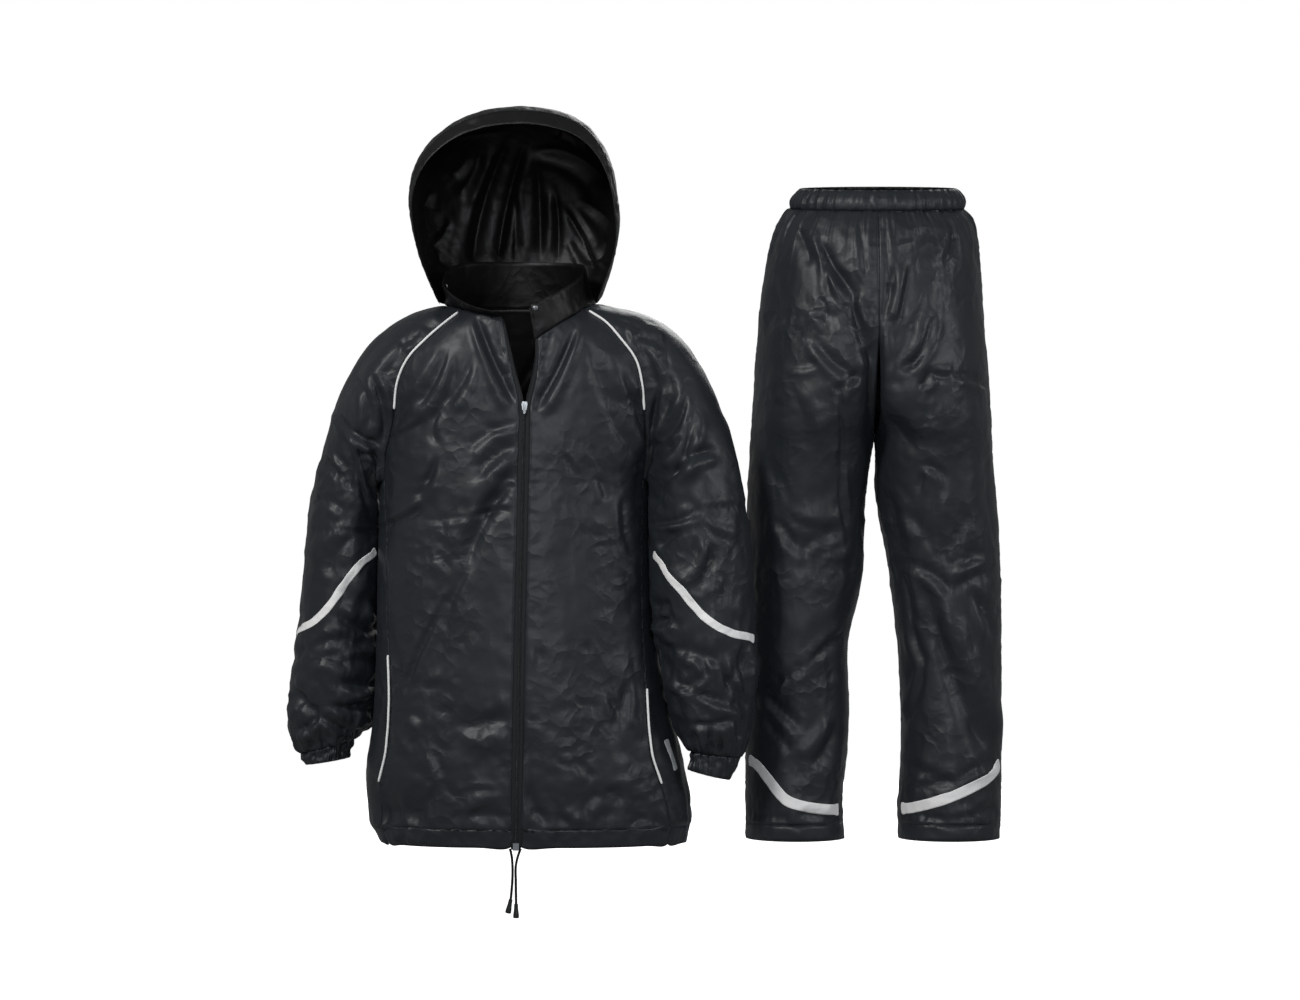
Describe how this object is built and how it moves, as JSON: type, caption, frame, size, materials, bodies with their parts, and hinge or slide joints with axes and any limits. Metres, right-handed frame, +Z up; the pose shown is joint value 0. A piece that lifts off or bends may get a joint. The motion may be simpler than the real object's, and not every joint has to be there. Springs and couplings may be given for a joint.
{
  "type": "rain suit",
  "caption": "Hooded waterproof jacket with raglan sleeves and a front zip, and matching elasticated rain trousers, both filled out as worn.",
  "frame": {"origin": "inside the jacket's neck, level with the top of the neckline, where the wearer's shoulders carry it", "axes": "+Z up, -Y towards the front of both garments, +X towards the trousers"},
  "size_m": [1.1149, 0.3565, 1.2403],
  "materials": {
    "nylon": "satin",
    "nylon_inside": "satin",
    "piping": "matt",
    "sleeve_tape": "matt",
    "trouser_tape": "matt",
    "zip_tape": "matt",
    "metal": "bright",
    "end_box": "matt",
    "side_tab": "matt",
    "snap": "satin",
    "cord": "matt",
    "cord_end": "gloss"
  },
  "bodies": {
    "suit": {"front_left": "nylon", "front_right": "nylon", "back": "nylon", "hem_band_left": "nylon", "hem_band_right": "nylon", "hem_band_back": "nylon", "sleeve_left": "nylon", "sleeve_right": "nylon", "cuff_left": "nylon", "cuff_right": "nylon", "hood": "nylon", "hood_band": "nylon", "trouser_front_left": "nylon", "trouser_front_right": "nylon", "trouser_back_left": "nylon", "trouser_back_right": "nylon", "trouser_hem_left": "nylon", "trouser_hem_right": "nylon", "waistband": "nylon", "collar": "nylon_inside", "raglan_piping_left": "piping", "raglan_piping_right": "piping", "pocket_piping_left": "piping", "pocket_piping_right": "piping", "sleeve_tape_left": "sleeve_tape", "sleeve_tape_right": "sleeve_tape", "trouser_tape_left": "trouser_tape", "trouser_tape_right": "trouser_tape", "zip_tape_left": "zip_tape", "zip_tape_right": "zip_tape", "zip_slider": "metal", "zip_end_box": "end_box", "side_tab": "side_tab", "snap_left": "snap", "snap_right": "snap", "snap_front": "snap", "drawcord_left": "cord", "drawcord_right": "cord", "cord_end_left": "cord_end", "cord_end_right": "cord_end"},
    "pull": {"zip_pull": "metal"}
  },
  "joints": [
    {"name": "zip_pull_hinge", "type": "hinge", "parent": "suit", "child": "pull", "pos_m": [0.0034, -0.13157, -0.15806], "axis": [-1, 0, 0], "range_deg": [0, 150]}
  ]
}
